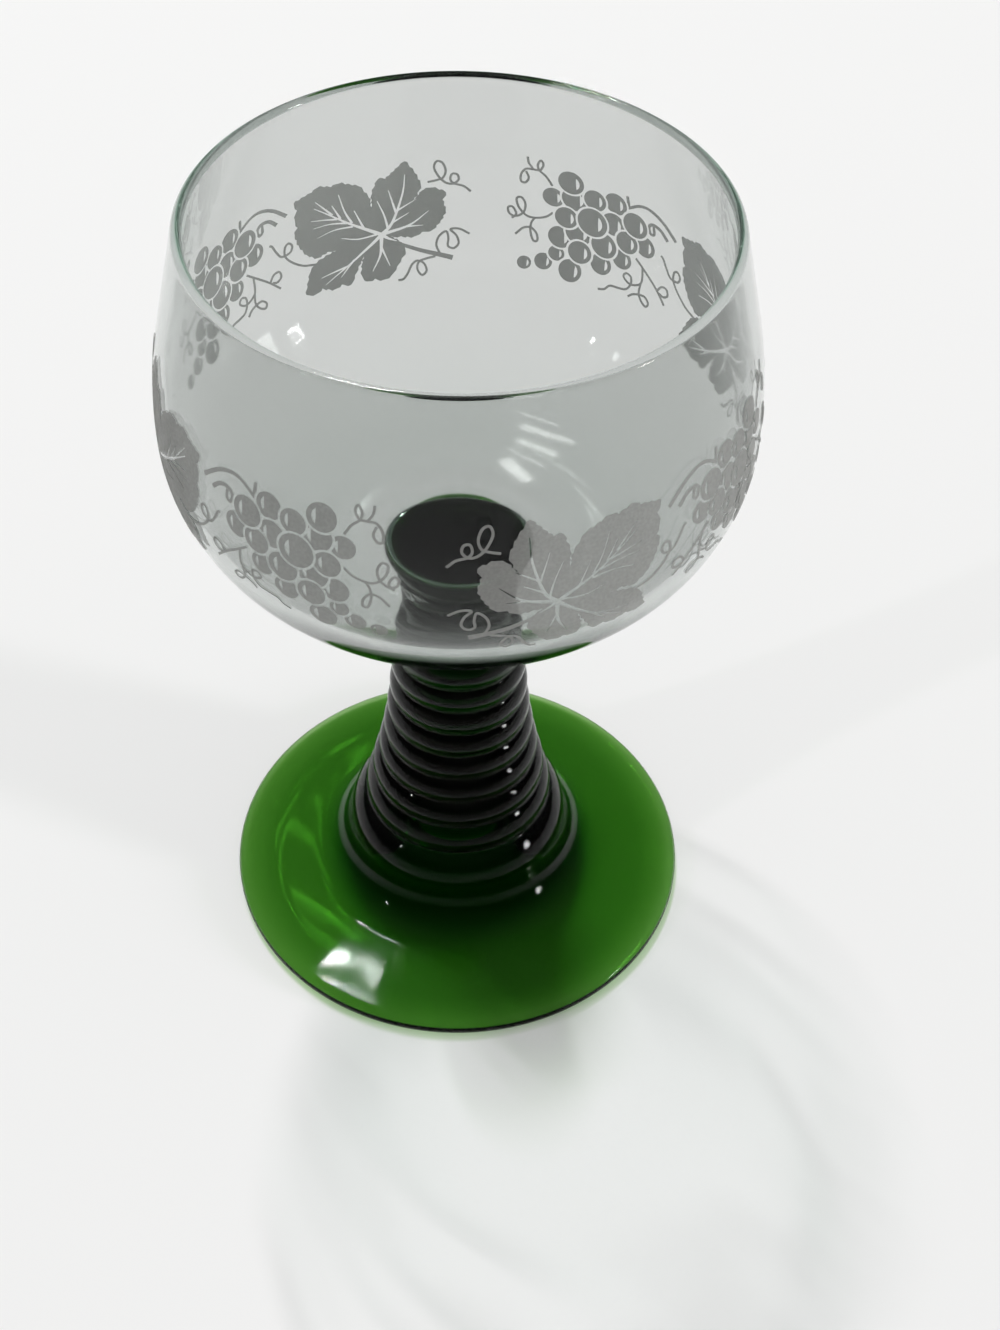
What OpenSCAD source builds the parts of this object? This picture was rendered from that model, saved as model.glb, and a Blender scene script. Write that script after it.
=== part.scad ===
// Roemer wine glass: a clear bowl with a fired-on vine print, a ringed green stem and a green foot.
// Millimetres, +Z up, the origin under the middle of the foot.

/* [Foot] */
// Diameter of the foot
foot_d = 70.4; // [64:0.2:80]
// Thickness of the foot's round edge
foot_edge_t = 2.6; // [2:0.1:4]
// Slope of the foot's top face, in degrees
foot_slope = 9; // [5:0.5:12]
// Height of the foot with its collar
foot_h = 22; // [21:0.1:24]
// Diameter of the collar's bell where it is widest
bell_d = 33.4; // [32:0.2:37]
// Height at which the bell is widest
bell_z = 11.8; // [11:0.1:13]
// Radius of the bell's swelling side
bell_side_r = 6.8; // [6.6:0.1:9]
// Diameter at the groove between the bell and the ring above it
bell_groove_d = 28; // [26.8:0.1:28.2]
// Height of that groove
bell_groove_z = 17.1; // [16.6:0.1:17.6]
// Diameter of the shallow hollow under the foot
hollow_d = 58; // [50:1:61]
// Depth of that hollow
hollow_h = 2; // [1:0.1:3]
// Diameter of the dome that rises from the hollow under the bell
dome_d = 19; // [14:0.2:21]
// Height of the dome's top
dome_h = 12; // [10:0.1:14]
// Radius at which the dome flares out into the hollow
dome_flare_r = 8; // [5:0.1:10]

/* [Stem] */
// Number of rings on the stem
ring_count = 10; // [6:1:12]
// Height of the lowest ring
ring_h = 4.23; // [3.8:0.01:4.6]
// How much taller each ring is than the one under it
ring_h_step = 0.04; // [0:0.01:0.12]
// How far a ring swells out between its two grooves
ring_swell = 0.7; // [0.3:0.05:0.9]
// How far the glass fills the bottom of a groove
groove_fill = 0.12; // [0.05:0.01:0.3]
// Diameter at the top groove, where the bowl is joined
stem_top_d = 17.6; // [15:0.2:20]
// Diameter at the bottom groove, where the collar is joined
stem_foot_d = 25.6; // [22:0.2:26.6]
// How late the stem flares: 1 is a straight taper
flare_power = 3.3; // [1.5:0.1:4.5]

/* [Bowl] */
// Height of the bowl from its joint with the stem to the rim
bowl_h = 53.9; // [51.5:0.1:61]
// Outside diameter of the rim
rim_d = 67.5; // [65:0.1:71]
// Outside diameter of the bowl where it is widest
widest_d = 76.4; // [74:0.2:79]
// Height of the widest place above the joint
widest_h = 26.6; // [25.4:0.1:29]
// Length of the straight wall under the rim
straight_wall = 12.8; // [8:0.1:20]
// Height of the neck between the joint and the bowl's underside
neck_h = 3; // [1.6:0.1:3.4]
// Thickness of the wall
wall_t = 1.4; // [1:0.1:2]
// Thickness of the glass above the joint, in the middle of the floor
floor_t = 4.2; // [4:0.1:7]
// Radius of the dished floor
dish_r = 80; // [65:1:120]

/* [Print] */
// Height of the middle of the print above the joint
print_h = 28.95; // [26.95:0.1:30.95]
// Size of the printed motifs, 1 as drawn
print_scale = 1; // [0.8:0.05:1.1]
// Thickness of the fired-on print
print_t = 0.15; // [0.1:0.01:0.3]
// Clearance between the print and the glass under it
print_gap = 0.02; // [0.01:0.01:0.05]
// Azimuth of the first leaf, in degrees
leaf_turn = -73; // [-180:1:180]
// Angle from each leaf to the grapes that follow it, in degrees
grapes_turn = 44; // [40:1:50]
// Clear line left round a berry that lies in front of another
berry_line = 0.35; // [0.2:0.05:0.5]
// Width of a leaf's main veins where they meet
vein_w = 0.8; // [0.5:0.05:1.2]

/* [Hidden] */
$fn = 180;
far = 100;

clear_glass = [0.86, 0.9, 0.89, 0.45];
green_glass = [0.1, 0.32, 0.05];
dark_green_glass = [0.03, 0.12, 0.02];
frost = [0.72, 0.73, 0.71];

// Stem: the rings grow taller upwards, and the bowl is joined on the last groove
function groove_z(i) = foot_h + i * ring_h + i * (i - 1) / 2 * ring_h_step;
joint_z = groove_z(ring_count);
// Radius of the stem at a groove: wider and wider towards the foot
function groove_r(i) =
    let (down = (joint_z - groove_z(i)) / (joint_z - foot_h))
    stem_top_d / 2 + (stem_foot_d - stem_top_d) / 2 * pow(down, flare_power);

// Foot: the fillet between the bell and the sloping top face touches both
edge_r = foot_edge_t / 2;
bell_r = bell_d / 2;
slope_foot_r = foot_d / 2 - edge_r * (1 - sin(foot_slope));
slope_foot_z = edge_r * (1 + cos(foot_slope));
fillet_r = (bell_z - slope_foot_z - (slope_foot_r - bell_r) * tan(foot_slope)) * cos(foot_slope)
           / (1 - sin(foot_slope));
fillet_foot_r = bell_r + fillet_r * (1 - sin(foot_slope));
fillet_foot_z = bell_z - fillet_r * cos(foot_slope);

// Hollow: the dome's flare is an arc that runs into both the dome and the shallow hollow
hollow_sphere_r = (pow(hollow_d / 2, 2) + pow(hollow_h, 2)) / (2 * hollow_h);
hollow_centre_z = hollow_h - hollow_sphere_r;
dome_r = dome_d / 2;
dome_centre_z = dome_h - dome_r;
arc_overlap = 0.01;
dome_to_flare = dome_r + dome_flare_r - arc_overlap;
hollow_to_flare = hollow_sphere_r + dome_flare_r - arc_overlap;
flare_centre_z = (pow(hollow_to_flare, 2) - pow(dome_to_flare, 2) - pow(hollow_centre_z, 2)
                  + pow(dome_centre_z, 2)) / (2 * (dome_centre_z - hollow_centre_z));
flare_centre = [sqrt(pow(dome_to_flare, 2) - pow(flare_centre_z - dome_centre_z, 2)), flare_centre_z];

// Bowl: a round belly under the widest place
widest_r = widest_d / 2;
widest_z = joint_z + widest_h;
belly_r = widest_h - neck_h;
belly_centre_r = widest_r - belly_r;

// Inside: the round above the floor is the one that touches both the wall and the dished floor
inner_r = widest_r - wall_t;
floor_drop = widest_h - floor_t;
inner_belly_r = (pow(dish_r, 2) - pow(dish_r - floor_drop, 2) - pow(inner_r, 2)) / (2 * (dish_r - inner_r));
inner_belly_centre_r = inner_r - inner_belly_r;
dish_centre_h = dish_r - floor_drop + arc_overlap;

// Shoulder: its circle is the one that the straight wall under the rim runs into smoothly
rim_inset = widest_r - rim_d / 2;
rim_rise = bowl_h - wall_t / 2 - widest_h;
mid_wall_r = (pow(rim_inset, 2) + pow(rim_rise, 2) - pow(straight_wall, 2)) / (2 * rim_inset);
shoulder_r = mid_wall_r + wall_t / 2;
shoulder_centre_r = widest_r - shoulder_r;
lean = atan2(rim_rise, mid_wall_r - rim_inset) - atan2(straight_wall, mid_wall_r);

// Print: four leaves and four bunches of grapes share the way round the bowl
motif_step = 360 / 4;
// Outlines in millimetres, x round the bowl and y up from the middle of the print
leaf_outline = [
    [1.4, 3.1], [1.8, 4.8], [3.2, 7.1], [5.2, 8], [6.1, 8.5], [7.4, 8.2], [9.3, 8.9], [10.2, 8.3],
    [13, 7.6], [12.5, 6.2], [12.9, 4.6], [12.5, 3.2], [13, 2.2], [12.5, 0.2], [11.4, -1.8], [9.8, -3],
    [8.2, -2.5], [6.6, -2.7], [9.8, -3.7], [10.9, -4.8], [11.9, -8], [10.4, -8.4], [9.4, -7.9], [7.6, -8.6],
    [6.4, -8.2], [5, -8.6], [3.7, -6.2], [2.8, -4.8], [3.3, -7.6], [2.6, -8.7], [1.4, -8.5], [0.2, -8.9],
    [-1, -8.5], [-2, -7.2], [-3.4, -5.1], [-2.6, -3.4], [-1.2, -2.3], [-2.8, -2.5], [-4.6, -2.8],
    [-5.8, -2.1], [-7.3, -1.9], [-8.4, -0.4], [-9.1, 1.2], [-8.6, 3.1], [-9.1, 4.4], [-7.2, 5.3], [-6, 5],
    [-4.7, 3.4], [-5.6, 5.8], [-4.7, 8], [-3.2, 10.3], [-1.8, 8.8], [-0.6, 7.6], [0.5, 7.8], [1.3, 5.6]];
// Where the leaf's veins meet, and where each main vein ends
vein_foot = [0, -1.7];
vein_tips = [[10, 5.6], [-3.3, 8.4], [-6.8, 1.4], [8.8, -7.2], [1.6, -7.2]];
// The leaf's stalk, from the blade to its cut end
stalk = [[-1.6, -2.9], [-5.6, -4.8], [-9.9, -6], [-9.8, -6.8], [-5.4, -5.6], [-1.8, -3.7]];
// Berries from front to back: x, y and radius
berries = [
    [0, 2.7, 2.3], [4, 2.3, 1.7], [3.2, 8.5, 1.9], [-6.9, 5, 2], [1.8, -2.9, 1.8], [-1.9, -0.5, 2],
    [-5.6, 1.5, 1.75], [-3.3, 3.6, 1.85], [-0.4, 6.6, 1.7], [3, -6.2, 1.75], [-1.6, -3.7, 1.65],
    [2.1, 0.3, 2], [4.9, -1.2, 1.75], [-8.6, 2.2, 1.7], [-3.7, 7.3, 1.75], [-4.9, -1.6, 1.55],
    [2.7, 5.8, 1.95], [5.9, 5.3, 1.55], [5.3, -4, 1.2], [7.1, -5.7, 1.3], [9.8, -6.4, 1]];

function plan_distance(a, b) = norm([a[0] - b[0], a[1] - b[1]]);

// Rings

// An arc that swells out between two grooves, its ends sunk under the grooves' surface
module ring_section(low, high) {
    chord = norm(high - low);
    out = [high[1] - low[1], low[0] - high[0]] / chord;
    rise = ring_swell + groove_fill;
    arc_r = (pow(chord / 2, 2) + pow(rise, 2)) / (2 * rise);
    intersection() {
        translate((low + high) / 2 - out * (arc_r - ring_swell))
            circle(r = arc_r, $fn = 90);
        translate([0, low[1]])
            square([far, high[1] - low[1]]);
    }
}

// Foot

module foot_section() {
    difference() {
        union() {
            translate([foot_d / 2 - edge_r, edge_r])
                circle(r = edge_r);
            polygon([[0, 0], [foot_d / 2 - edge_r, 0], [foot_d / 2 - edge_r, edge_r],
                     [slope_foot_r, slope_foot_z], [fillet_foot_r, fillet_foot_z], [0, fillet_foot_z]]);
            bell_foot_section();
            bell_section();
            collar_section();
        }
        hollow_section();
        translate([-far, -far / 2])
            square([far, far]);
    }
}

// The shallow hollow under the foot, with a dome that rises from it under the bell
module hollow_section() {
    translate([0, hollow_centre_z])
        circle(r = hollow_sphere_r, $fn = 720);
    translate([0, dome_centre_z])
        circle(r = dome_r);
    difference() {
        polygon([[0, dome_centre_z], flare_centre, [0, hollow_centre_z]]);
        translate(flare_centre)
            circle(r = dome_flare_r);
    }
}

// The concave sweep from the bell down to the sloping top face
module bell_foot_section() {
    difference() {
        translate([0, fillet_foot_z])
            square([fillet_foot_r, bell_z - fillet_foot_z]);
        translate([bell_r + fillet_r, bell_z])
            circle(r = fillet_r);
    }
}

module bell_section() {
    intersection() {
        translate([bell_r - bell_side_r, bell_z])
            circle(r = bell_side_r, $fn = 360);
        translate([0, bell_z])
            square([far, bell_groove_z - bell_z]);
    }
}

// The collar's ring, flush with the stem above it
module collar_section() {
    low = [bell_groove_d / 2, bell_groove_z];
    high = [stem_foot_d / 2, foot_h];
    polygon([[0, low[1]], low, high, [0, high[1]]]);
    ring_section(low, high);
}

module foot() {
    color(green_glass)
        rotate_extrude()
            foot_section();
}

// Stem

// The tapering core, whose surface shows only at the bottom of the grooves
module core_section() {
    grooves = [for (i = [0 : ring_count]) [groove_r(i), groove_z(i)]];
    polygon(concat([[0, foot_h]], grooves, [[0, joint_z]]));
}

module stem() {
    color(dark_green_glass)
        rotate_extrude() {
            core_section();
            for (i = [0 : ring_count - 1])
                ring_section([groove_r(i), groove_z(i)], [groove_r(i + 1), groove_z(i + 1)]);
        }
}

// Bowl

// All that lies inside a bowl's outline: a round belly, a shoulder and a straight wall that leans in
module vessel_section(round_r, round_centre_r, curve_r, wall_length) {
    out = [cos(lean), sin(lean)];
    along = [-sin(lean), cos(lean)];
    wall_foot = [shoulder_centre_r, 0] + curve_r * out;
    wall_top = wall_foot + wall_length * along;
    crest = wall_top - 2 * wall_t * out;
    translate([0, widest_z]) {
        intersection() {
            union() {
                translate([round_centre_r, 0])
                    circle(r = round_r);
                translate([0, -round_r])
                    square([round_centre_r, round_r]);
            }
            translate([0, -round_r])
                square([far, round_r]);
        }
        intersection() {
            translate([shoulder_centre_r, 0])
                circle(r = curve_r, $fn = 360);
            square([far, wall_foot[1]]);
        }
        polygon([[0, wall_foot[1]], wall_foot, wall_top, crest, [0, crest[1]]]);
    }
}

// The outside of the bowl, moved out by a margin
module outside_section(margin) {
    vessel_section(belly_r + margin, belly_centre_r, shoulder_r + margin, straight_wall);
}

// The room inside the bowl, run on past the rim: the glass is thicker at the floor than at the wall
module inside_section() {
    vessel_section(inner_belly_r, inner_belly_centre_r, shoulder_r - wall_t, straight_wall + 2 * wall_t);
    translate([0, widest_z])
        dish_section();
}

// The dished floor, as far out as it touches the round above it
module dish_section() {
    centre = [0, dish_centre_h];
    intersection() {
        translate(centre)
            circle(r = dish_r, $fn = 720);
        polygon([centre, [2 * inner_belly_centre_r, -dish_centre_h], [0, -dish_r]]);
    }
}

module rim_section() {
    translate([shoulder_centre_r, widest_z])
        rotate(lean)
            translate([mid_wall_r, straight_wall])
                circle(r = wall_t / 2);
}

// The short neck that flares from the stem's top to the bowl's underside
module neck_section() {
    difference() {
        translate([0, joint_z])
            square([stem_top_d / 2 + neck_h, neck_h]);
        translate([stem_top_d / 2 + neck_h, joint_z])
            circle(r = neck_h);
    }
}

module bowl() {
    color(clear_glass)
        rotate_extrude() {
            neck_section();
            difference() {
                outside_section(0);
                inside_section();
            }
            rim_section();
        }
}

// Print

// The thin skin outside the bowl that the print fills
module print_skin() {
    rotate_extrude()
        difference() {
            outside_section(print_gap + print_t);
            outside_section(print_gap);
        }
}

// Lays a flat motif on the bowl, facing out at the given azimuth
module on_bowl(azimuth) {
    color(frost)
        intersection() {
            print_skin();
            rotate(azimuth)
                translate([belly_centre_r, 0, joint_z + print_h])
                    rotate([90, 0, 90])
                        linear_extrude(far)
                            scale(print_scale)
                                children();
        }
}

module vein(tip) {
    along = tip - vein_foot;
    across = [-along[1], along[0]] / norm(along) * vein_w / 2;
    polygon([vein_foot - along / norm(along) * vein_w / 2, vein_foot + across, tip, vein_foot - across]);
}

module leaf_motif() {
    difference() {
        polygon(leaf_outline);
        for (tip = vein_tips)
            vein(tip);
    }
    polygon(stalk);
}

module grapes_motif() {
    for (i = [0 : len(berries) - 1])
        difference() {
            translate([berries[i][0], berries[i][1]])
                circle(r = berries[i][2], $fn = 48);
            for (j = [0 : 1 : i - 1])
                if (plan_distance(berries[i], berries[j]) < berries[i][2] + berries[j][2] + berry_line)
                    translate([berries[j][0], berries[j][1]])
                        circle(r = berries[j][2] + berry_line, $fn = 48);
        }
}

module leaf(i) {
    on_bowl(leaf_turn + motif_step * i)
        leaf_motif();
}

module grapes(i) {
    on_bowl(leaf_turn + grapes_turn + motif_step * i)
        grapes_motif();
}

module leaf_1() { leaf(0); }
module leaf_2() { leaf(1); }
module leaf_3() { leaf(2); }
module leaf_4() { leaf(3); }
module grapes_1() { grapes(0); }
module grapes_2() { grapes(1); }
module grapes_3() { grapes(2); }
module grapes_4() { grapes(3); }

bowl();
stem();
foot();
leaf_1();
leaf_2();
leaf_3();
leaf_4();
grapes_1();
grapes_2();
grapes_3();
grapes_4();
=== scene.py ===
"""Looks of a roemer wine glass: turned glass, a fired-on vine print and a plain studio."""
import math

import bpy
from mathutils import Matrix, Vector
from mathutils.geometry import delaunay_2d_cdt


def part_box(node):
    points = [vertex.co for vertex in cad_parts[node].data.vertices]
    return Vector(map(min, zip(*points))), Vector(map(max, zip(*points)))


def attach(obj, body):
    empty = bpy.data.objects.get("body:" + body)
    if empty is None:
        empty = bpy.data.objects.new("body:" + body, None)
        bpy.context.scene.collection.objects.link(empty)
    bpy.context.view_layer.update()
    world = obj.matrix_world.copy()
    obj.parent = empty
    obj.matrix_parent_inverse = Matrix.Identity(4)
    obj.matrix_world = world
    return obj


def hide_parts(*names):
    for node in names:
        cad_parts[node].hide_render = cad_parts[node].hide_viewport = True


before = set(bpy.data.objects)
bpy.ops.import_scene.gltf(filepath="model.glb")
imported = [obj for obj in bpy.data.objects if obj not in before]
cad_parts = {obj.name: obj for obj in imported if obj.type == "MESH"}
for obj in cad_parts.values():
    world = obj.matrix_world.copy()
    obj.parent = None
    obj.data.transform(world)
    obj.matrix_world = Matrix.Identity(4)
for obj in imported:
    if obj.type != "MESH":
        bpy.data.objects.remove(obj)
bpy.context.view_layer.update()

# Sizes in millimetres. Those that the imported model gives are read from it.
MM = 0.001
foot_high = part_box("foot")[1] / MM
bowl_low, bowl_high = (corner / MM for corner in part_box("bowl"))

FOOT_R = foot_high.x
FOOT_H = foot_high.z
FOOT_EDGE_R = 1.3
FOOT_SLOPE = 9
BELL_R = 16.7
BELL_Z = 11.8
BELL_SIDE_R = 6.8
BELL_GROOVE = (14, 17.1)
HOLLOW_R = 29
HOLLOW_H = 2
DOME_R = 9.5
DOME_H = 12
DOME_FLARE_R = 8

JOINT_Z = bowl_low.z
RING_COUNT = 10
RING_H_STEP = 0.04
RING_SWELL = 0.7
STEM_TOP_R = 8.8
STEM_FOOT_R = 12.8
FLARE_POWER = 3.3
JOINT_OVERLAP = 0.25
JOINT_IOR = 1.05

RIM_Z = bowl_high.z
WIDEST_R = bowl_high.x
WIDEST_Z = JOINT_Z + 26.6
RIM_R = 33.75
STRAIGHT_WALL = 12.8
NECK_H = 3
WALL_T = 1.4
INNER_BELLY_R = 20
DISH_R = 80

PRINT_Z = JOINT_Z + 28.95
PRINT_LIFT = 0.03
PRINT_T = 0.08
LEAF_TURN = -73
GRAPES_TURN = LEAF_TURN + 44
MOTIF_COUNT = 4
PRINT_GRID = 1.2
SAME_POINT = 1e-4

TURN_STEPS = 288
ARC_STEP = 3


# Outlines: lists of (radius, height)

def arc(centre, radius, start, end, step=ARC_STEP):
    """Points on a circle from one angle to another, in degrees, both ends included."""
    count = max(2, math.ceil(abs(end - start) / step))
    angles = [math.radians(start + (end - start) * i / count) for i in range(count + 1)]
    return [(centre[0] + radius * math.cos(a), centre[1] + radius * math.sin(a)) for a in angles]


def straight(low, high, count=8):
    """Points between two ends, closer near them, so that smooth shading keeps the stretch straight."""
    shares = [0.5 - 0.5 * math.cos(math.pi * i / count) for i in range(1, count)]
    return [(low[0] + (high[0] - low[0]) * share, low[1] + (high[1] - low[1]) * share) for share in shares]


def groove(i):
    """The stem's groove under ring i, counted from the foot."""
    low_ring_h = (JOINT_Z - FOOT_H) / RING_COUNT - (RING_COUNT - 1) / 2 * RING_H_STEP
    z = FOOT_H + i * low_ring_h + i * (i - 1) / 2 * RING_H_STEP
    down = (JOINT_Z - z) / (JOINT_Z - FOOT_H)
    return STEM_TOP_R + (STEM_FOOT_R - STEM_TOP_R) * max(down, 0) ** FLARE_POWER, z


def ring(low, high, swell=RING_SWELL, count=16):
    """A ring that swells out between two grooves, without its last point."""
    chord = Vector(high) - Vector(low)
    out = Vector((chord.y, -chord.x)).normalized()
    points = []
    for i in range(count):
        share = i / count
        points.append(tuple(Vector(low) + chord * share + out * 4 * swell * share * (1 - share)))
    return points


def hollow_outline():
    """The hollow under the foot: a dome that flares out into a shallow cap."""
    cap_r = (HOLLOW_R ** 2 + HOLLOW_H ** 2) / (2 * HOLLOW_H)
    cap_z, dome_z = HOLLOW_H - cap_r, DOME_H - DOME_R
    cap_to_flare, dome_to_flare = cap_r + DOME_FLARE_R, DOME_R + DOME_FLARE_R
    squares = cap_to_flare ** 2 - dome_to_flare ** 2 - cap_z ** 2 + dome_z ** 2
    flare_z = squares / (2 * (dome_z - cap_z))
    flare_r = math.sqrt(dome_to_flare ** 2 - (flare_z - dome_z) ** 2)
    dome_end = math.degrees(math.atan2(flare_z - dome_z, flare_r))
    cap_start = math.degrees(math.atan2(flare_z - cap_z, flare_r))
    cap_end = math.degrees(math.atan2(-cap_z, HOLLOW_R))
    dome = arc((0, dome_z), DOME_R, 90, dome_end)
    dome[0] = (0, DOME_H)
    flare = arc((flare_r, flare_z), DOME_FLARE_R, 180 + dome_end, 180 + cap_start)
    return dome + flare[1:] + arc((0, cap_z), cap_r, cap_start, cap_end, step=0.4)[1:]


def foot_and_stem_outline():
    """From the hollow under the foot, round its edge and up the rings to the joint."""
    slope = math.radians(FOOT_SLOPE)
    slope_foot = (FOOT_R - FOOT_EDGE_R * (1 - math.sin(slope)), FOOT_EDGE_R * (1 + math.cos(slope)))
    drop = BELL_Z - slope_foot[1] - (slope_foot[0] - BELL_R) * math.tan(slope)
    fillet_r = drop * math.cos(slope) / (1 - math.sin(slope))
    bell_top = math.degrees(math.asin((BELL_GROOVE[1] - BELL_Z) / BELL_SIDE_R))
    points = hollow_outline()
    points += arc((FOOT_R - FOOT_EDGE_R, FOOT_EDGE_R), FOOT_EDGE_R, -90, 90 - FOOT_SLOPE, step=6)
    fillet = arc((BELL_R + fillet_r, BELL_Z), fillet_r, 270 - FOOT_SLOPE, 180)
    points += straight(points[-1], fillet[0]) + fillet
    points += arc((BELL_R - BELL_SIDE_R, BELL_Z), BELL_SIDE_R, 0, bell_top)[1:-1]
    points += ring(BELL_GROOVE, groove(0))
    for i in range(RING_COUNT):
        points += ring(groove(i), groove(i + 1))
    top_z = JOINT_Z + JOINT_OVERLAP
    return points + [(STEM_TOP_R, JOINT_Z), (STEM_TOP_R, top_z), (0, top_z)]


RIM_INSET = WIDEST_R - RIM_R
RIM_RISE = RIM_Z - WALL_T / 2 - WIDEST_Z
MID_WALL_R = (RIM_INSET ** 2 + RIM_RISE ** 2 - STRAIGHT_WALL ** 2) / (2 * RIM_INSET)
SHOULDER_R = MID_WALL_R + WALL_T / 2
SHOULDER_CENTRE = (WIDEST_R - SHOULDER_R, WIDEST_Z)
LEAN = math.atan2(RIM_RISE, MID_WALL_R - RIM_INSET) - math.atan2(STRAIGHT_WALL, MID_WALL_R)
BELLY_R = WIDEST_Z - JOINT_Z - NECK_H
BELLY_CENTRE = (WIDEST_R - BELLY_R, WIDEST_Z)


def bowl_outline():
    """From the joint up the outside, over the rim and down the inside to the floor."""
    lean = math.degrees(LEAN)
    rim_centre = (SHOULDER_CENTRE[0] + MID_WALL_R * math.cos(LEAN) - STRAIGHT_WALL * math.sin(LEAN),
                  WIDEST_Z + MID_WALL_R * math.sin(LEAN) + STRAIGHT_WALL * math.cos(LEAN))
    inner_centre = (WIDEST_R - WALL_T - INNER_BELLY_R, WIDEST_Z)
    dish_z = WIDEST_Z + math.sqrt((DISH_R - INNER_BELLY_R) ** 2 - inner_centre[0] ** 2)
    dish_start = math.degrees(math.atan2(WIDEST_Z - dish_z, inner_centre[0]))
    points = [(0, JOINT_Z)]
    points += arc((STEM_TOP_R + NECK_H, JOINT_Z), NECK_H, 180, 90, step=8)
    points += arc(BELLY_CENTRE, BELLY_R, -90, 0, step=1.5)
    points += arc(SHOULDER_CENTRE, SHOULDER_R, 0, lean, step=1)[1:]
    rim = arc(rim_centre, WALL_T / 2, lean, lean + 180, step=10)
    points += straight(points[-1], rim[0]) + rim
    inner_shoulder = arc(SHOULDER_CENTRE, SHOULDER_R - WALL_T, lean, 0, step=1)
    points += straight(rim[-1], inner_shoulder[0]) + inner_shoulder
    points += arc(inner_centre, INNER_BELLY_R, 0, dish_start, step=1.5)[1:]
    points += arc((0, dish_z), DISH_R, dish_start, -90, step=0.5)[1:-1]
    return points + [(0, dish_z - DISH_R)]


def outside_radius(z):
    """The bowl's outside radius at a height."""
    up = z - WIDEST_Z
    if up < 0:
        return BELLY_CENTRE[0] + math.sqrt(BELLY_R ** 2 - up ** 2)
    if up < SHOULDER_R * math.sin(LEAN):
        return SHOULDER_CENTRE[0] + math.sqrt(SHOULDER_R ** 2 - up ** 2)
    wall_foot_r = SHOULDER_CENTRE[0] + SHOULDER_R * math.cos(LEAN)
    return wall_foot_r - (up - SHOULDER_R * math.sin(LEAN)) * math.tan(LEAN)


# Meshes

def add_piece(name, verts, faces, material, slot, nodes, smooth=True):
    """A piece of the glass that rides on the frame and stands for some of its nodes."""
    mesh = bpy.data.meshes.new(name)
    mesh.from_pydata(verts, [], faces)
    mesh.polygons.foreach_set("use_smooth", [smooth] * len(mesh.polygons))
    mesh.materials.append(material)
    mesh.validate()
    piece = bpy.data.objects.new(name, mesh)
    bpy.context.scene.collection.objects.link(piece)
    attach(piece, "root")
    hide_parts(*nodes)
    return piece


def lathe(outline):
    """Vertices and faces of an outline turned round the axis, closed at the axis."""
    turns = [2 * math.pi * i / TURN_STEPS for i in range(TURN_STEPS)]
    verts, loops = [], []
    for radius, z in outline:
        steps = turns if radius > 0 else turns[:1]
        loops.append(range(len(verts), len(verts) + len(steps)))
        verts += [(radius * math.cos(a) * MM, radius * math.sin(a) * MM, z * MM) for a in steps]
    faces = []
    for low, high in zip(loops, loops[1:]):
        for i in range(TURN_STEPS):
            j = i + 1
            corners = (low[i % len(low)], low[j % len(low)], high[j % len(high)], high[i % len(high)])
            faces.append(tuple(dict.fromkeys(corners)))
    return verts, faces


# Print: layers of flat shapes, painted one over another as ink or as a gap of bare glass

LEAF_EDGE = [
    (1.4, 3.1), (1.8, 4.8), (3.2, 7.1), (5.2, 8), (6.1, 8.5), (7.4, 8.2), (9.3, 8.9), (10.2, 8.3),
    (13, 7.6), (12.5, 6.2), (12.9, 4.6), (12.5, 3.2), (13, 2.2), (12.5, 0.2), (11.4, -1.8), (9.8, -3),
    (8.2, -2.5), (6.6, -2.7), (9.8, -3.7), (10.9, -4.8), (11.9, -8), (10.4, -8.4), (9.4, -7.9), (7.6, -8.6),
    (6.4, -8.2), (5, -8.6), (3.7, -6.2), (2.8, -4.8), (3.3, -7.6), (2.6, -8.7), (1.4, -8.5), (0.2, -8.9),
    (-1, -8.5), (-2, -7.2), (-3.4, -5.1), (-2.6, -3.4), (-1.2, -2.3), (-2.8, -2.5), (-4.6, -2.8),
    (-5.8, -2.1), (-7.3, -1.9), (-8.4, -0.4), (-9.1, 1.2), (-8.6, 3.1), (-9.1, 4.4), (-7.2, 5.3), (-6, 5),
    (-4.7, 3.4), (-5.6, 5.8), (-4.7, 8), (-3.2, 10.3), (-1.8, 8.8), (-0.6, 7.6), (0.5, 7.8), (1.3, 5.6)]
LEAF_VEINS = [
    [(0, -1.8), (4.8, 1.2), (10, 5.4)], [(0, -1.8), (-1.6, 0), (-3, 4.5), (-3.3, 8)],
    [(0, -1.8), (-4, -0.8), (-6.8, 1.4)], [(0, -1.8), (2, -3.5), (5, -5.6), (8.8, -7.6)],
    [(0, -1.8), (0.3, -5), (1.6, -7.4)], [(0, -1.8), (-1, -2.6), (-2.2, -3.2)]]
LEAF_SIDE_VEINS = [
    [(2.5, -0.4), (4, 3.2)], [(4.3, 1.1), (5.4, 3.4), (6.3, 6.6)], [(6, 2.3), (7.3, 5)],
    [(7.2, 3.3), (9.8, 6.5)], [(4.2, 0.5), (7, 0.7), (9.6, 0.2)], [(5, 1.3), (7.6, 1.9), (10.2, 2)],
    [(6.5, 2.4), (10.5, 3.4)], [(-1.7, 0), (-4, 1.3)], [(-2.2, 1.8), (-5, 3.5)], [(-2.1, 1.6), (-1, 5.6)],
    [(-0.9, -0.8), (-0.4, 1.4), (0.6, 4)], [(0.2, -3.6), (-1, -7)], [(4.2, -5), (6.4, -7.2)],
    [(5.4, -5.8), (9.4, -6.4)], [(-3.4, -1), (-6, -1)], [(0.3, -1.6), (3.4, -1.8), (6, -1)]]
LEAF_STALK = [(-1.7, -3.3), (-5.5, -5.1), (-10, -6.5)]
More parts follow.
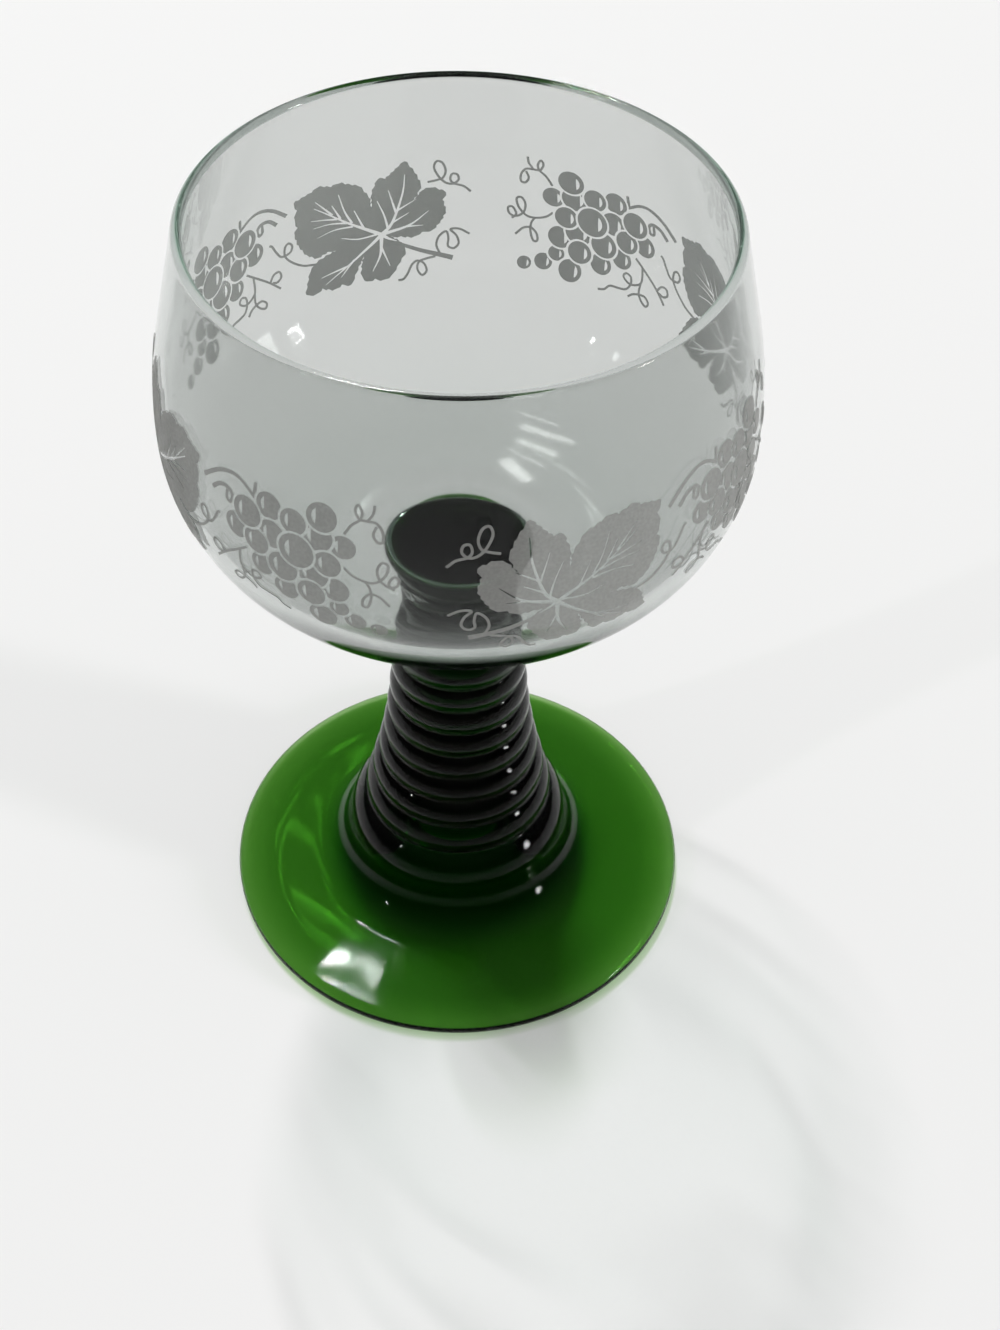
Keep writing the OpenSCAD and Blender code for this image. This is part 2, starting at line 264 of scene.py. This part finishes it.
LEAF_TENDRILS = [
    [(-12.4, 4.6), (-11.4, 5.5), (-10.2, 5.9), (-9.6, 6.6), (-9.8, 7.6), (-10.5, 7.5), (-10.7, 6.6),
     (-10, 5.9), (-9, 6.1), (-8, 7.2), (-7.3, 8.8), (-7.6, 9.9), (-8.4, 9.6), (-8.9, 8.2), (-8.6, 7),
     (-7.8, 6.6), (-6.5, 6.3)],
    [(-8.2, -5.7), (-7.8, -4.4), (-8.2, -3), (-9.2, -2.2), (-9.5, -3.4), (-9.4, -4.6), (-10.2, -5),
     (-10.9, -4.2), (-10.6, -2.9), (-9.8, -1.9), (-11, -1.8), (-12.4, -2.6)],
    [(-7.6, -6.2), (-6.2, -6.5), (-5.2, -6.9), (-4.9, -8), (-5.5, -8.9), (-6.2, -8.3), (-5.9, -7.2),
     (-5, -6.7), (-4.2, -7.2), (-3.5, -8.4), (-2.8, -9.2), (-2, -9.3)],
    [(9.9, -4), (12, -3.4), (13.8, -2), (14.7, -0.6), (14.6, 0.8), (14, 1.2), (13.5, 0.5), (13.9, -0.4),
     (15.2, -0.5), (16, 0.6), (16.6, 1.9), (17, 2.2)]]

BERRIES = [
    (0, 2.7, 2.3), (4, 2.3, 1.7), (3.2, 8.5, 1.9), (-6.9, 5, 2), (1.8, -2.9, 1.8), (-1.9, -0.5, 2),
    (-5.6, 1.5, 1.75), (-3.3, 3.6, 1.85), (-0.4, 6.6, 1.7), (3, -6.2, 1.75), (-1.6, -3.7, 1.65),
    (2.1, 0.3, 2), (4.9, -1.2, 1.75), (-8.6, 2.2, 1.7), (-3.7, 7.3, 1.75), (-4.9, -1.6, 1.55),
    (2.7, 5.8, 1.95), (5.9, 5.3, 1.55), (5.3, -4, 1.2), (7.1, -5.7, 1.3), (9.8, -6.4, 1)]
GRAPE_VINES = [
    [(-14, 6), (-11.6, 8), (-9.4, 8.9), (-7.6, 8.7), (-5.6, 7.4)], [(-5.8, 7.6), (-5.6, 9.5)],
    [(-12.5, 5.2), (-11.2, 6.4), (-9.8, 6.6), (-9.2, 5.9), (-9.5, 4.9), (-10.1, 5.1), (-10, 6.3)]]
GRAPE_TENDRILS = [
    [(6, 7.2), (6.8, 8.6), (7.7, 9.5), (7.9, 10.4), (7.4, 11.3), (7.1, 10.6), (7.6, 9.6), (8.6, 9.5),
     (9.6, 9.4), (10.3, 8.4), (10.4, 7.2), (9.8, 7), (9.3, 7.9), (9.6, 9)],
    [(8.6, 9.6), (9.1, 10.5), (9.2, 11.6)],
    [(6, 2.6), (7, 1.7), (8.4, 1.2), (9.7, 1.3), (10.8, 2.5), (11.1, 4), (10.4, 4.3), (9.9, 3.2),
     (10.2, 1.8), (11.2, 1), (12.1, 1.3), (12.3, 2.3), (11.7, 2.5), (11.2, 1.4), (11.8, 0.6)],
    [(8.6, 1.2), (9.1, 0.2), (9.2, -1.2), (8.8, -2.6), (8.2, -2.6), (8.3, -1.5), (9.1, -0.6),
     (10.2, -0.8), (11.3, -2)],
    [(-7.2, -0.4), (-9, -1.9), (-11, -3.6), (-12.7, -5.4)],
    [(-11.2, -3.8), (-11.9, -2.8), (-12.8, -2.7), (-13.1, -3.6), (-12.4, -4.2), (-11.6, -4)],
    [(-8.4, -1.4), (-8.5, -3), (-8.3, -4.1), (-7.3, -4.8), (-6.3, -4.9), (-5.4, -4.2), (-5.8, -3.5),
     (-6.6, -3.8), (-6.7, -4.9), (-6, -6), (-4.8, -6.3), (-3.4, -6.5), (-2.6, -7.3), (-1.6, -7.6)],
    [(-8.3, -4.2), (-8.2, -5.6), (-8.7, -6.6), (-9.6, -7.1), (-10, -6.5), (-9.3, -5.8), (-8.2, -5.9),
     (-7.2, -6.3), (-6.5, -6.9)]]

TENDRIL_W = 0.32
VEIN_W = 0.62
SIDE_VEIN_W = 0.36
VEIN_TIP_W = 0.12
STALK_W = 0.75
STALK_NECK = 0.6
VINE_W, VINE_TIP_W = 0.55, 0.4
BERRY_LINE = 0.35
GLINT_START, GLINT_TURN = 125, 110
GLINT_PLACE, GLINT_W = 0.66, 0.3
TOOTH_PITCH = 1.1
TOOTH_H = 0.22
TOOTH_TIP = 0.7


def smooth_line(points, per_span=6):
    """A smooth curve through all the points."""
    p = [Vector(q) for q in points]
    p = [2 * p[0] - p[1]] + p + [2 * p[-1] - p[-2]]
    line = []
    for a, b, c, d in zip(p, p[1:], p[2:], p[3:]):
        for i in range(per_span):
            t = i / per_span
            line.append(0.5 * (2 * b + (c - a) * t + (2 * a - 5 * b + 4 * c - d) * t ** 2
                               + (3 * b - a - 3 * c + d) * t ** 3))
    return line + [p[-2]]


def stroke(points, start_w, end_w):
    """A curved line that tapers from one width to another, as a row of triangles."""
    line = smooth_line(points)
    sides = []
    for i, here in enumerate(line):
        along = (line[min(i + 1, len(line) - 1)] - line[max(i - 1, 0)]).normalized()
        across = Vector((-along.y, along.x)) * (start_w + (end_w - start_w) * i / (len(line) - 1)) / 2
        sides.append((here + across, here - across))
    triangles = []
    for (a, b), (c, d) in zip(sides, sides[1:]):
        triangles += [[a, b, d], [a, d, c]]
    return triangles


def toothed(outline):
    """A leaf's edge with a small tooth on each stretch."""
    edge = []
    for a, b in zip(outline, outline[1:] + outline[:1]):
        a, b = Vector(a), Vector(b)
        along = b - a
        out = Vector((-along.y, along.x)).normalized() * TOOTH_H
        count = max(1, round(along.length / TOOTH_PITCH))
        for i in range(count):
            edge.append(a + along * i / count)
            edge.append(a + along * (i + TOOTH_TIP) / count + out)
    return edge


def disc(x, y, radius, count=40):
    """A berry's round outline."""
    return [Vector((x + radius * math.cos(a), y + radius * math.sin(a)))
            for a in (2 * math.pi * i / count for i in range(count))]


def glint(x, y, radius, count=10):
    """The sickle of bare glass at the left of a berry."""
    outer, inner = [], []
    for i in range(count + 1):
        turn = math.radians(GLINT_START + GLINT_TURN * i / count)
        point = Vector((math.cos(turn), math.sin(turn))) * GLINT_PLACE * radius
        outer.append(Vector((x, y)) + point)
        inner.append(outer[-1] + Vector((GLINT_W * radius * math.sin(math.pi * i / count), 0)))
    return outer + inner[-2:0:-1]


def leaf_layers():
    """A leaf with bare veins, its stalk and the tendrils round it."""
    layers = [(toothed(LEAF_EDGE), True)]
    for lines, width in ((LEAF_VEINS, VEIN_W), (LEAF_SIDE_VEINS, SIDE_VEIN_W)):
        layers += [(part, False) for line in lines for part in stroke(line, width, VEIN_TIP_W)]
    layers += [(part, True) for part in stroke(LEAF_STALK, STALK_NECK * STALK_W, STALK_W)]
    layers += [(part, True) for line in LEAF_TENDRILS for part in stroke(line, TENDRIL_W, TENDRIL_W)]
    return layers


def grapes_layers():
    """A bunch of grapes from the back berry to the front one, over its vines and tendrils."""
    layers = [(part, True) for line in GRAPE_VINES for part in stroke(line, VINE_W, VINE_TIP_W)]
    layers += [(part, True) for line in GRAPE_TENDRILS for part in stroke(line, TENDRIL_W, TENDRIL_W)]
    for x, y, radius in reversed(BERRIES):
        layers.append((disc(x, y, radius + BERRY_LINE), False))
        layers.append((disc(x, y, radius), True))
        layers.append((glint(x, y, radius), False))
    return layers


def holds(shape, box, x, y):
    """Whether a flat shape covers a point, and the point isn't outside the shape's box."""
    if not (box[0] <= x <= box[1] and box[2] <= y <= box[3]):
        return False
    inside = False
    for a, b in zip(shape, shape[1:] + shape[:1]):
        if (a.y > y) != (b.y > y) and x < a.x + (b.x - a.x) * (y - a.y) / (b.y - a.y):
            inside = not inside
    return inside


def ink_triangles(layers):
    """The flat triangles whose topmost layer is ink."""
    points, edges, painted = [], [], []
    for shape, ink in layers:
        first, count = len(points), len(shape)
        edges += [(first + i, first + (i + 1) % count) for i in range(count)]
        points += shape
        xs, ys = [p.x for p in shape], [p.y for p in shape]
        painted.insert(0, (shape, (min(xs), max(xs), min(ys), max(ys)), ink))
    low_x, high_x = min(p.x for p in points), max(p.x for p in points)
    low_y, high_y = min(p.y for p in points), max(p.y for p in points)
    for i in range(int((high_x - low_x) / PRINT_GRID) + 1):
        for j in range(int((high_y - low_y) / PRINT_GRID) + 1):
            points.append(Vector((low_x + i * PRINT_GRID, low_y + j * PRINT_GRID)))
    verts, _, faces, *_ = delaunay_2d_cdt(points, edges, [], 0, SAME_POINT)
    kept = []
    for face in faces:
        middle = sum((verts[v] for v in face), Vector((0, 0))) / 3
        top = (ink for shape, box, ink in painted if holds(shape, box, middle.x, middle.y))
        if next(top, False):
            kept.append(face)
    return verts, kept


def add_print(name, node, flat, triangles, turn):
    """A motif laid on the outside of the bowl, facing out at an azimuth."""
    used = sorted({v for triangle in triangles for v in triangle})
    place = {v: i for i, v in enumerate(used)}
    verts = []
    for v in used:
        z = PRINT_Z + flat[v].y
        radius = outside_radius(z)
        azimuth = math.radians(turn) + math.asin(flat[v].x / radius)
        radius += PRINT_LIFT
        verts.append((radius * math.cos(azimuth) * MM, radius * math.sin(azimuth) * MM, z * MM))
    faces = [tuple(place[v] for v in triangle) for triangle in triangles]
    piece = add_piece(name, verts, faces, frosted_print, "frosted_print", [node], smooth=False)
    film = piece.modifiers.new("film", "SOLIDIFY")
    film.thickness = PRINT_T * MM
    film.offset = 1


# Materials

GLASS_ROUGHNESS, GLASS_CLOUDS = (0.03, 0.042), 160
GLASS_WAVES, GLASS_WAVE_STRENGTH, GLASS_WAVE_DEPTH = 70, 0.05, 0.0005
FROST_ALPHA, FROST_IOR = 0.55, 1.45
FROST_DARK, FROST_PALE, FROST_SPECKS = (0.3, 0.3, 0.288, 1), (0.36, 0.36, 0.346, 1), 2500
FROST_ROUGHNESS, FROST_CLOUDS = (0.5, 0.75), 900
FROST_GRAIN, FROST_GRAIN_STRENGTH, FROST_GRAIN_DEPTH = 4000, 0.2, 0.00005
PAPER_ROUGHNESS = 0.9

# Heights at which each glass stops bending light, where it meets the other
CLEAR_JOINT = JOINT_Z + 0.04, JOINT_Z + 0.02
GREEN_JOINT = JOINT_Z + 0.05, JOINT_Z + 0.1
# Mirrored rays pass the bowl straight above these heights, so that its rim isn't black
STRAIGHT_RANGE = JOINT_Z + 12, JOINT_Z + 18


def shader_tree(name):
    """A new material with an empty node tree."""
    material = bpy.data.materials.new(name)
    material.use_nodes = True
    material.node_tree.nodes.clear()
    return material, material.node_tree


def add_node(tree, kind, **values):
    """A node with its inputs set by name, spaces written as underscores."""
    node = tree.nodes.new(kind)
    for name, value in values.items():
        node.inputs[name.replace("_", " ")].default_value = value
    return node


def noise(tree, scale, detail=3):
    """A cloudy pattern in the object's own space: how many clouds in a metre."""
    place = tree.nodes.new("ShaderNodeTexCoord")
    pattern = add_node(tree, "ShaderNodeTexNoise", Scale=scale, Detail=detail)
    tree.links.new(place.outputs["Object"], pattern.inputs["Vector"])
    return pattern.outputs["Fac"]


def height(tree):
    """The height above the floor, in metres."""
    place = tree.nodes.new("ShaderNodeTexCoord")
    split = tree.nodes.new("ShaderNodeSeparateXYZ")
    tree.links.new(place.outputs["Object"], split.inputs[0])
    return split.outputs["Z"]


def spread(tree, source, low, high, start=0.3, end=0.7):
    """A pattern's values stretched over a range."""
    node = add_node(tree, "ShaderNodeMapRange", From_Min=start, From_Max=end, To_Min=low, To_Max=high)
    tree.links.new(source, node.inputs["Value"])
    return node.outputs["Result"]


def by_height(tree, low, high, heights):
    """A value that changes from one to another between two heights."""
    start, end = heights
    return spread(tree, height(tree), low, high, start * MM, end * MM)


def add_bump(tree, body, pattern, strength, depth):
    """A pattern that ripples a surface."""
    bump = add_node(tree, "ShaderNodeBump", Strength=strength, Distance=depth)
    tree.links.new(pattern, bump.inputs["Height"])
    tree.links.new(bump.outputs["Normal"], body.inputs["Normal"])


def high_up(tree, ray):
    """A kind of ray, counted only high up on the bowl."""
    both = tree.nodes.new("ShaderNodeMath")
    both.operation = "MULTIPLY"
    tree.links.new(ray, both.inputs[0])
    tree.links.new(by_height(tree, 0, 1, STRAIGHT_RANGE), both.inputs[1])
    return both.outputs[0]


def let_straight(tree, surface, rays):
    """The surface, but some kinds of ray pass it straight, dimmed by a colour."""
    path = tree.nodes.new("ShaderNodeLightPath")
    for ray, dimmed in rays.items():
        passing = add_node(tree, "ShaderNodeBsdfTransparent", Color=dimmed)
        mix = tree.nodes.new("ShaderNodeMixShader")
        share = path.outputs[ray]
        if ray == "Is Reflection Ray":
            share = high_up(tree, share)
        tree.links.new(share, mix.inputs[0])
        tree.links.new(surface, mix.inputs[1])
        tree.links.new(passing.outputs[0], mix.inputs[2])
        surface = mix.outputs[0]
    return surface


def glass(name, ior, tint, mirror, absorbed, density, joint, straight_rays):
    """Clear or coloured glass with a fused joint that doesn't bend light."""
    material, tree = shader_tree(name)
    body = add_node(tree, "ShaderNodeBsdfPrincipled", Base_Color=tint, Transmission_Weight=1, IOR=ior)
    body.inputs["Specular Tint"].default_value = mirror
    tree.links.new(spread(tree, noise(tree, GLASS_CLOUDS), *GLASS_ROUGHNESS), body.inputs["Roughness"])
    tree.links.new(by_height(tree, ior, JOINT_IOR, joint), body.inputs["IOR"])
    add_bump(tree, body, noise(tree, GLASS_WAVES, 1), GLASS_WAVE_STRENGTH, GLASS_WAVE_DEPTH)
    surface = let_straight(tree, body.outputs[0], straight_rays)
    inside = add_node(tree, "ShaderNodeVolumeAbsorption", Color=absorbed, Density=density)
    out = tree.nodes.new("ShaderNodeOutputMaterial")
    tree.links.new(surface, out.inputs["Surface"])
    tree.links.new(inside.outputs[0], out.inputs["Volume"])
    return material


def frost(name):
    """Fired-on grey-white print: matt, finely speckled and not quite opaque."""
    material, tree = shader_tree(name)
    body = add_node(tree, "ShaderNodeBsdfPrincipled", Alpha=FROST_ALPHA, IOR=FROST_IOR)
    shade = tree.nodes.new("ShaderNodeMix")
    shade.data_type = "RGBA"
    shade.inputs["A"].default_value = FROST_DARK
    shade.inputs["B"].default_value = FROST_PALE
    tree.links.new(spread(tree, noise(tree, FROST_SPECKS, 2), 0, 1), shade.inputs["Factor"])
    tree.links.new(shade.outputs["Result"], body.inputs["Base Color"])
    tree.links.new(spread(tree, noise(tree, FROST_CLOUDS), *FROST_ROUGHNESS), body.inputs["Roughness"])
    add_bump(tree, body, noise(tree, FROST_GRAIN, 2), FROST_GRAIN_STRENGTH, FROST_GRAIN_DEPTH)
    out = tree.nodes.new("ShaderNodeOutputMaterial")
    tree.links.new(body.outputs[0], out.inputs["Surface"])
    return material


def paper(name, colour):
    """The pale floor."""
    material, tree = shader_tree(name)
    body = add_node(tree, "ShaderNodeBsdfPrincipled", Base_Color=colour, Roughness=PAPER_ROUGHNESS)
    out = tree.nodes.new("ShaderNodeOutputMaterial")
    tree.links.new(body.outputs[0], out.inputs["Surface"])
    return material


CLEAR_RAYS = {"Is Reflection Ray": (0.81, 0.81, 0.81, 1), "Is Diffuse Ray": (0.975, 0.975, 0.975, 1),
              "Is Shadow Ray": (0.975, 0.975, 0.975, 1)}
GREEN_RAYS = {"Is Diffuse Ray": (0.94, 0.96, 0.94, 1), "Is Shadow Ray": (0.94, 0.96, 0.94, 1)}
clear_glass = glass("clear_glass", ior=1.5, tint=(0.715, 0.72, 0.715, 1), mirror=(0.27, 0.27, 0.27, 1),
                    absorbed=(0.6, 0.76, 0.68, 1), density=70, joint=CLEAR_JOINT,
                    straight_rays=CLEAR_RAYS)
green_glass = glass("green_glass", ior=1.45, tint=(0.97, 0.99, 0.96, 1), mirror=(0.12, 0.12, 0.12, 1),
                    absorbed=(0.41, 0.69, 0.19, 1), density=750, joint=GREEN_JOINT,
                    straight_rays=GREEN_RAYS)
frosted_print = frost("frosted_print")

# Pieces

add_piece("bowl_glass", *lathe(bowl_outline()), clear_glass, "clear_glass", ["bowl"])
add_piece("stem_and_foot_glass", *lathe(foot_and_stem_outline()), green_glass, "green_glass",
          ["stem", "foot"])
for motif, layers, turn in (("leaf", leaf_layers(), LEAF_TURN), ("grapes", grapes_layers(), GRAPES_TURN)):
    flat_print = ink_triangles(layers)
    for i in range(MOTIF_COUNT):
        motif_turn = turn + 360 / MOTIF_COUNT * i
        add_print(f"{motif}_print_{i + 1}", f"{motif}_{i + 1}", *flat_print, motif_turn)


# Studio

FLOOR_SIZE, FLOOR_GAP = 6, 0.0001
FLOOR_COLOUR = (0.86, 0.86, 0.855, 1)
WORLD_LEVEL = 0.1
BOUNCES = 48
SKY = [(-90, 65, 15, 60, 0.26), (0, 50, 10, 45, 0.25), (180, 50, 10, 45, 0.25)]
LAMP_DISTANCE, LAMP_AIM = 4, (0, 0, 0.06)
# Each lamp: its ends as (azimuth, elevation), its width in metres and its brightness
LAMPS = [
    ("window_pane_1", (109.8, 65.7), (117.8, 58.1), 0.075, 205),
    ("window_pane_2", (106.1, 63.3), (111.9, 57.1), 0.065, 205),
    ("window_pane_3", (102.7, 61.6), (107.7, 55.8), 0.025, 205),
    ("window_pane_4", (100.5, 59.6), (103.3, 53.6), 0.11, 205),
    ("window_strip_1", (125.4, 63.8), (117.7, 70.3), 0.032, 340),
    ("window_strip_2", (126.9, 64.9), (117.2, 72.2), 0.012, 340),
    ("window_left", (-150, 23), (-150, 27), 0.1, 150),
    ("lamp_right", (-20, 5), (-20, 17), 0.4, 60)]


def direction(azimuth, elevation):
    """The way to a place in the sky, from degrees."""
    a, e = math.radians(azimuth), math.radians(elevation)
    return Vector((math.cos(a) * math.cos(e), math.sin(a) * math.cos(e), math.sin(e)))


def add_lamp(name, start, end, width, radiance):
    """A strip lamp that faces the glass between two directions, its brightness that of the lit panel."""
    start, end = direction(*start) * LAMP_DISTANCE, direction(*end) * LAMP_DISTANCE
    away = (start + end).normalized()
    along = (end - start).normalized()
    lamp = bpy.data.lights.new(name, "AREA")
    lamp.shape = "RECTANGLE"
    lamp.size, lamp.size_y = (end - start).length, width
    lamp.energy = radiance * math.pi * lamp.size * lamp.size_y
    holder = bpy.data.objects.new(name, lamp)
    axes = Matrix((along, away.cross(along), away)).transposed()
    holder.matrix_world = Matrix.Translation((start + end) / 2 + Vector(LAMP_AIM)) @ axes.to_4x4()
    bpy.context.scene.collection.objects.link(holder)


def add_floor():
    """A plain pale floor just under the foot."""
    half = FLOOR_SIZE / 2
    mesh = bpy.data.meshes.new("floor")
    corners = [(-half, -half, 0), (half, -half, 0), (half, half, 0), (-half, half, 0)]
    mesh.from_pydata(corners, [], [(0, 1, 2, 3)])
    mesh.materials.append(paper("floor", FLOOR_COLOUR))
    floor = bpy.data.objects.new("floor", mesh)
    floor.location.z = -FLOOR_GAP
    bpy.context.scene.collection.objects.link(floor)


def add_world():
    """A dim room with soft bright patches: azimuth, elevation, inner and outer half angle, level."""
    world = bpy.data.worlds.new("studio")
    world.use_nodes = True
    tree = world.node_tree
    way = tree.nodes.new("ShaderNodeTexCoord")
    level = None
    for azimuth, elevation, inner, outer, bright in SKY:
        toward = tree.nodes.new("ShaderNodeVectorMath")
        toward.operation = "DOT_PRODUCT"
        toward.inputs[1].default_value = direction(azimuth, elevation)
        tree.links.new(way.outputs["Generated"], toward.inputs[0])
        patch = add_node(tree, "ShaderNodeMapRange", From_Min=math.cos(math.radians(outer)),
                         From_Max=math.cos(math.radians(inner)), To_Min=0, To_Max=bright)
        patch.interpolation_type = "SMOOTHSTEP"
        tree.links.new(toward.outputs["Value"], patch.inputs["Value"])
        total = tree.nodes.new("ShaderNodeMath")
        total.inputs[1].default_value = WORLD_LEVEL
        tree.links.new(patch.outputs["Result"], total.inputs[0])
        if level:
            tree.links.new(level, total.inputs[1])
        level = total.outputs[0]
    tree.links.new(level, tree.nodes["Background"].inputs["Strength"])
    tree.nodes["Background"].inputs["Color"].default_value = (1, 1, 1, 1)
    bpy.context.scene.world = world


# The camera, as the photograph was taken: focal length in pixels of a frame 1330 high
FOCAL_PX, FRAME_PX = 1894.3, 1330
SENSOR = 36
CAMERA_NEAR = 0.01
CAMERA_PLACE = (0, -189.73, 244.8)
CAMERA_YAW, CAMERA_PITCH, CAMERA_ROLL = -1.82, 46.63, 1.56


def add_camera():
    """The camera at the photograph's place."""
    data = bpy.data.cameras.new("camera")
    data.sensor_width = SENSOR
    data.lens = FOCAL_PX * SENSOR / FRAME_PX
    data.clip_start = CAMERA_NEAR
    camera = bpy.data.objects.new("camera", data)
    turn = (Matrix.Rotation(math.radians(CAMERA_YAW), 4, "Z")
            @ Matrix.Rotation(math.radians(90 - CAMERA_PITCH), 4, "X")
            @ Matrix.Rotation(math.radians(CAMERA_ROLL), 4, "Z"))
    camera.matrix_world = Matrix.Translation(Vector(CAMERA_PLACE) * MM) @ turn
    bpy.context.scene.collection.objects.link(camera)
    bpy.context.scene.camera = camera


add_floor()
add_world()
add_camera()
for lamp_values in LAMPS:
    add_lamp(*lamp_values)

scene = bpy.context.scene
scene.view_settings.view_transform = "Standard"
scene.cycles.max_bounces = BOUNCES
scene.cycles.transmission_bounces = BOUNCES
